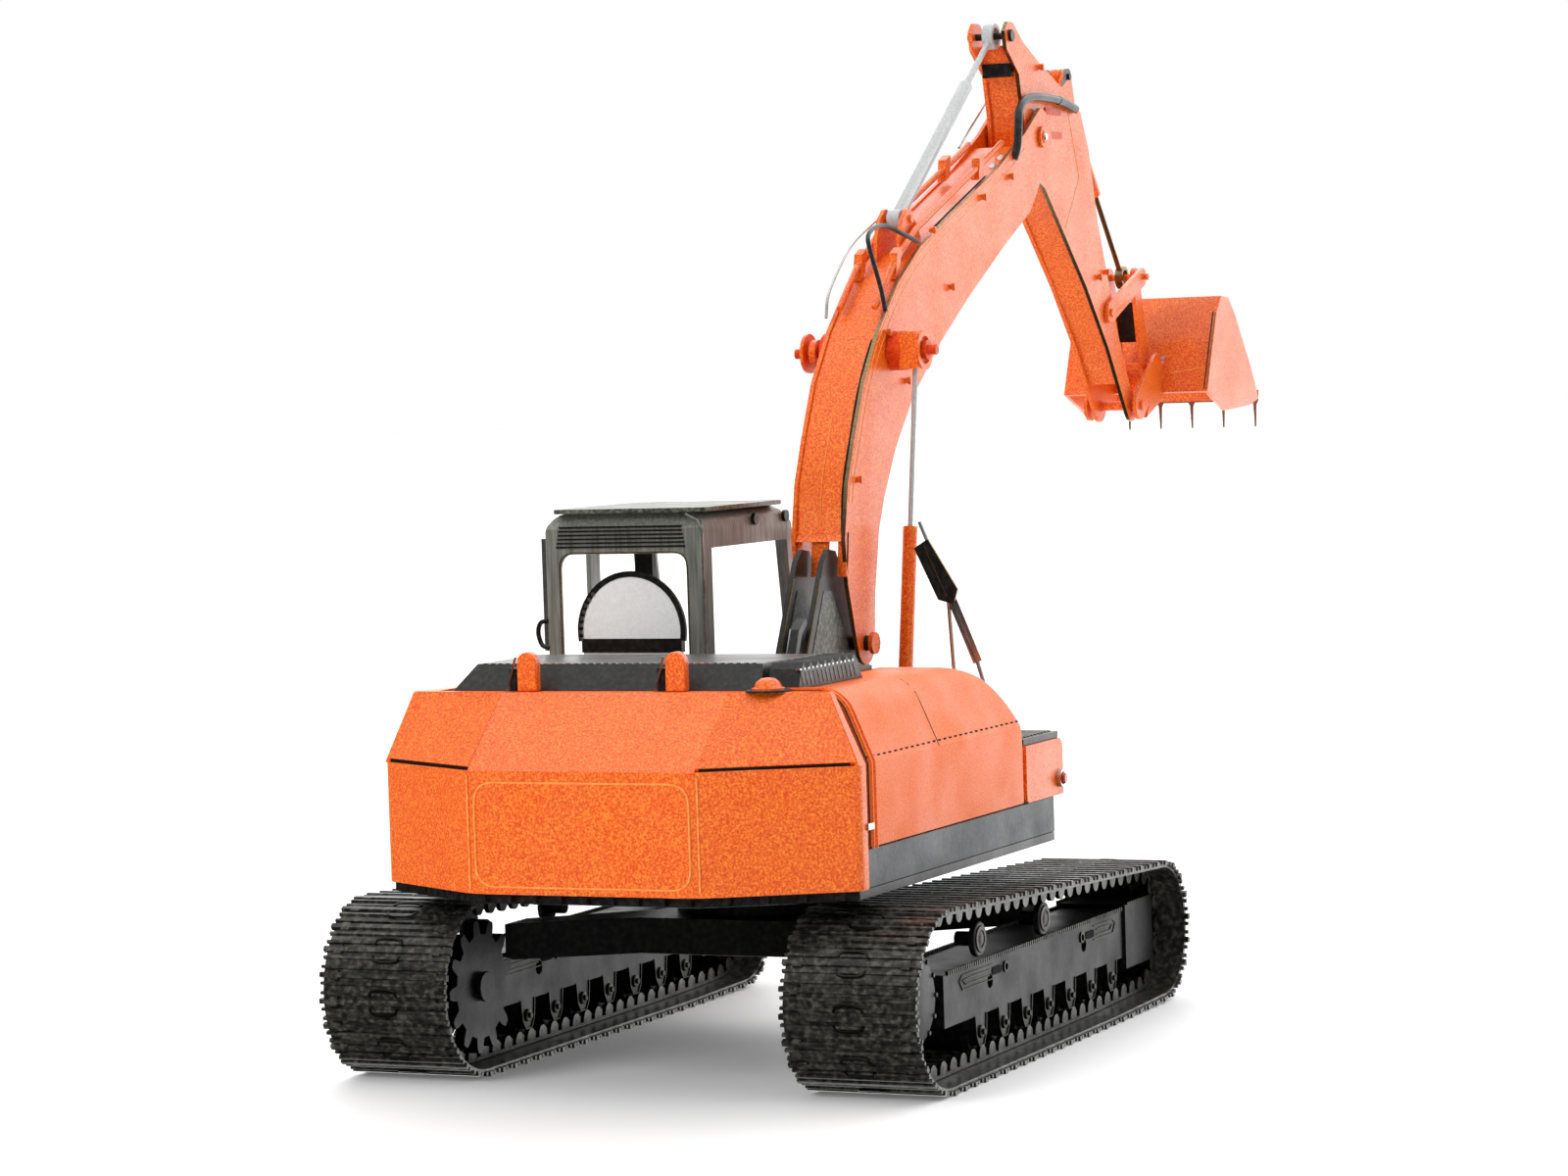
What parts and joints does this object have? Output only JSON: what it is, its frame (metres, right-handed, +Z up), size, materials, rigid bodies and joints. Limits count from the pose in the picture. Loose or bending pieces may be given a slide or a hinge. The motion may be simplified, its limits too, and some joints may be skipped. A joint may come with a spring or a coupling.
{
  "type": "scale model excavator",
  "caption": "Small folded-sheet scale model of a crawler excavator: two track bands, swinging house with cab and hollow tail, cranked boom, arm, cylinders and toothed bucket.",
  "frame": {"origin": "On the ground under the middle of the whole machine, bucket included", "axes": "+Z up, -Y forwards towards the bucket, +X towards the cab side"},
  "size_m": [0.04, 0.11, 0.0679],
  "materials": {
    "orange_paint": "satin, fine grain",
    "dark_paint": "satin",
    "black_plate": "semi-gloss",
    "track_steel": "dark, etched",
    "bare_steel": "bright",
    "lamp_plastic": "gloss"
  },
  "bodies": {
    "undercarriage": {"centre_frame": "black_plate", "slew_ring": "black_plate", "track_band_left": "track_steel", "track_band_right": "track_steel", "track_chain_left": "track_steel", "track_chain_right": "track_steel", "track_frame_left": "track_steel", "track_frame_right": "track_steel", "track_frame_end_left": "track_steel", "track_frame_end_right": "track_steel", "carrier_roller_front_left": "track_steel", "carrier_roller_front_right": "track_steel", "carrier_roller_rear_left": "track_steel", "carrier_roller_rear_right": "track_steel"},
    "sprocket_left": {"sprocket_left": "track_steel"},
    "sprocket_right": {"sprocket_right": "track_steel"},
    "house": {"house_floor": "dark_paint", "counterweight": "orange_paint", "hood_right": "orange_paint", "side_panel_left": "orange_paint", "skirt": "dark_paint", "engine_cover": "black_plate", "engine_vent": "black_plate", "lifting_lug_left": "orange_paint", "lifting_lug_right": "orange_paint", "filler_cap": "orange_paint", "exhaust": "black_plate", "step_box": "orange_paint", "step_box_lid": "black_plate", "side_lamp": "lamp_plastic", "boom_bracket": "black_plate", "mirror_stay": "bare_steel", "mirror": "black_plate", "cab_frame": "black_plate", "cab_roof": "black_plate", "cab_visor": "black_plate", "seat": "bare_steel"},
    "boom": {"boom_side_left": "orange_paint", "boom_side_right": "orange_paint", "boom_box": "orange_paint", "boom_cylinder_pin": "bare_steel", "arm_pin": "bare_steel", "boom_pipe_left": "orange_paint", "boom_pipe_right": "orange_paint"},
    "boom_barrel_left": {"boom_barrel_left": "orange_paint"},
    "boom_barrel_right": {"boom_barrel_right": "orange_paint"},
    "boom_rod_left": {"boom_rod_left": "bare_steel"},
    "boom_rod_right": {"boom_rod_right": "bare_steel"},
    "arm_barrel": {"arm_barrel": "bare_steel"},
    "arm_rod": {"arm_rod": "bare_steel"},
    "arm": {"arm_box": "orange_paint", "arm_side_left": "orange_paint", "arm_side_right": "orange_paint", "arm_cylinder_pin": "bare_steel"},
    "bucket_barrel": {"bucket_barrel": "bare_steel"},
    "bucket_rod": {"bucket_rod": "bare_steel"},
    "rocker": {"rocker": "orange_paint"},
    "push_link": {"push_link": "orange_paint"},
    "bucket": {"bucket": "orange_paint", "bucket_teeth": "bare_steel"}
  },
  "joints": [
    {"name": "house_swing", "type": "hinge", "parent": "undercarriage", "child": "house", "pos_m": [0, 0.02757, 0.0105], "axis": [0, 0, 1], "continuous": true},
    {"name": "sprocket_left_spin", "type": "hinge", "parent": "undercarriage", "child": "sprocket_left", "pos_m": [0.01195, 0.04648, 0.0056], "axis": [1, 0, 0], "continuous": true},
    {"name": "sprocket_right_spin", "type": "hinge", "parent": "undercarriage", "child": "sprocket_right", "pos_m": [-0.01195, 0.04648, 0.0056], "axis": [1, 0, 0], "continuous": true},
    {"name": "boom_lift", "type": "hinge", "parent": "house", "child": "boom", "pos_m": [-0.0009, 0.01798, 0.0249], "axis": [-1, 0, 0], "range_deg": [-20, 15]},
    {"name": "boom_barrel_left_tilt", "type": "hinge", "parent": "house", "child": "boom_barrel_left", "pos_m": [0.00275, 0.01578, 0.021], "axis": [-1, 0, 0], "range_deg": [-17.2, 12.9]},
    {"name": "boom_rod_left_slide", "type": "slide", "parent": "boom_barrel_left", "child": "boom_rod_left", "axis": [0, -0.1613, 0.9869], "range_m": [-0.00102, 0.00077]},
    {"name": "boom_barrel_right_tilt", "type": "hinge", "parent": "house", "child": "boom_barrel_right", "pos_m": [-0.00455, 0.01578, 0.021], "axis": [-1, 0, 0], "range_deg": [-17.2, 12.9]},
    {"name": "boom_rod_right_slide", "type": "slide", "parent": "boom_barrel_right", "child": "boom_rod_right", "axis": [0, -0.1613, 0.9869], "range_m": [-0.00102, 0.00077]},
    {"name": "arm_crowd", "type": "hinge", "parent": "boom", "child": "arm", "pos_m": [-0.0009, -0.01742, 0.0597], "axis": [1, 0, 0], "range_deg": [-15, 18]},
    {"name": "arm_barrel_tilt", "type": "hinge", "parent": "boom", "child": "arm_barrel", "pos_m": [-0.0009, 0.00598, 0.0533], "axis": [1, 0, 0], "range_deg": [-0.5, 0.6]},
    {"name": "arm_rod_slide", "type": "slide", "parent": "arm_barrel", "child": "arm_rod", "axis": [0, -0.8117, 0.5841], "range_m": [-0.0022, 0.00264]},
    {"name": "bucket_curl", "type": "hinge", "parent": "arm", "child": "bucket", "pos_m": [-0.0009, -0.03692, 0.0396], "axis": [1, 0, 0], "range_deg": [-25, 25]},
    {"name": "rocker_swing", "type": "hinge", "parent": "arm", "child": "rocker", "pos_m": [-0.0009, -0.03182, 0.0468], "axis": [1, 0, 0], "range_deg": [-14.8, 14.8]},
    {"name": "push_link_swing", "type": "hinge", "parent": "rocker", "child": "push_link", "pos_m": [-0.0009, -0.03943, 0.0496], "axis": [1, 0, 0], "range_deg": [-19.6, 19.6]},
    {"name": "bucket_barrel_tilt", "type": "hinge", "parent": "arm", "child": "bucket_barrel", "pos_m": [-0.0009, -0.02622, 0.0646], "axis": [1, 0, 0], "range_deg": [-2.2, 2.2]},
    {"name": "bucket_rod_slide", "type": "slide", "parent": "bucket_barrel", "child": "bucket_rod", "axis": [0, -0.6606, -0.7507], "range_m": [-0.00194, 0.00194]}
  ],
  "couplings": [
    {"joint": "boom_barrel_left_tilt", "follows": "boom_lift", "ratio": 0.8565},
    {"joint": "boom_rod_left_slide", "follows": "boom_lift", "m_per_rad": 0.002905},
    {"joint": "boom_barrel_right_tilt", "follows": "boom_lift", "ratio": 0.8565},
    {"joint": "boom_rod_right_slide", "follows": "boom_lift", "m_per_rad": 0.002905},
    {"joint": "arm_barrel_tilt", "follows": "arm_crowd", "ratio": 0.0323},
    {"joint": "arm_rod_slide", "follows": "arm_crowd", "m_per_rad": 0.00836},
    {"joint": "rocker_swing", "follows": "bucket_curl", "ratio": 0.5891},
    {"joint": "push_link_swing", "follows": "bucket_curl", "ratio": -0.7794},
    {"joint": "bucket_barrel_tilt", "follows": "bucket_curl", "ratio": 0.0858},
    {"joint": "bucket_rod_slide", "follows": "bucket_curl", "m_per_rad": 0.00443}
  ]
}
